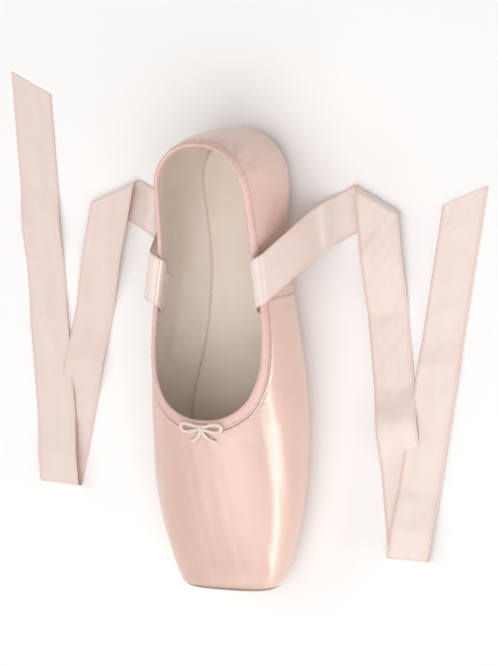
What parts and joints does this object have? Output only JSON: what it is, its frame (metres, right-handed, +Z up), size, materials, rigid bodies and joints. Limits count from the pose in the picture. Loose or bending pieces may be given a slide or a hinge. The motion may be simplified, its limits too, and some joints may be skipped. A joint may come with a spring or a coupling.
{
  "type": "pointe shoe",
  "caption": "Satin pointe shoe with a flat platform toe, leather outsole, drawstring collar and long ribbon ties laid on the floor.",
  "frame": {"origin": "floor level under the middle of the shoe, the ribbons and bow left out", "axes": "+Z up from the floor, +Y towards the heel, -Y towards the toe platform, X across the shoe"},
  "size_m": [0.2631, 0.2624, 0.0677],
  "materials": {
    "satin": "glossy peach pink satin",
    "casing_satin": "pinker satin casing, low gloss",
    "sole_leather": "matt tan leather",
    "sock_lining": "matt cotton lining",
    "ribbon_satin": "glossy satin ribbon",
    "bow_cord": "matt cotton cord"
  },
  "bodies": {
    "root": {"upper": "satin", "outsole": "sole_leather", "insole": "sock_lining", "binding": "casing_satin", "ribbon_right": "ribbon_satin", "ribbon_left": "ribbon_satin", "bow_knot": "bow_cord", "bow_loop_right": "bow_cord", "bow_loop_left": "bow_cord", "bow_end_right": "bow_cord", "bow_end_left": "bow_cord"}
  },
  "joints": []
}
